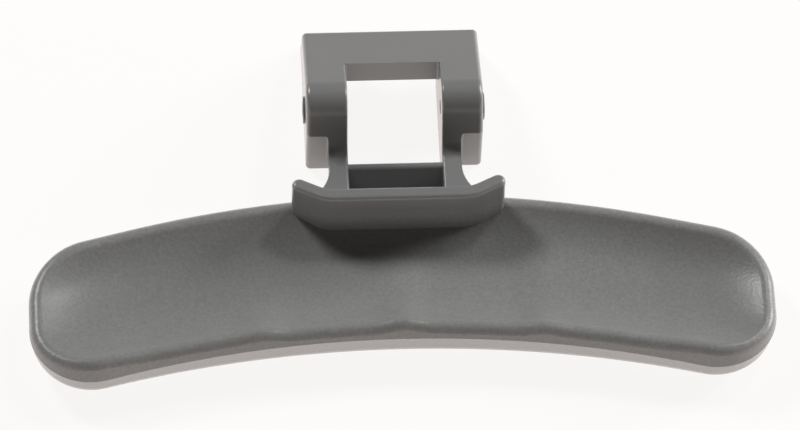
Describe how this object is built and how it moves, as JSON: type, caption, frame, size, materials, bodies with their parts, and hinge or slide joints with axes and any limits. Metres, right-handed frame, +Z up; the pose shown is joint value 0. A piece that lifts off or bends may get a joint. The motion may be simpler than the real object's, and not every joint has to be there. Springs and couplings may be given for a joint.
{
  "type": "washing machine door handle",
  "caption": "Curved finger handle for a front-loading washing machine door: a long dished blade with a waved grip edge, joined by short legs to a windowed pivot block.",
  "frame": {"origin": "middle of the pivot bore, halfway between the block's two sides", "axes": "+X along the blade and the pivot bore, +Y from the blade towards the pivot block, +Z up from the outer face, which lies on the table, to the inner, finger side"},
  "size_m": [0.15, 0.0859, 0.0198],
  "materials": {
    "grey_plastic": "fine-grained matte moulded plastic, a little glossier on the pivot block and legs"
  },
  "bodies": {
    "root": {"door_handle": "grey_plastic"}
  },
  "joints": []
}
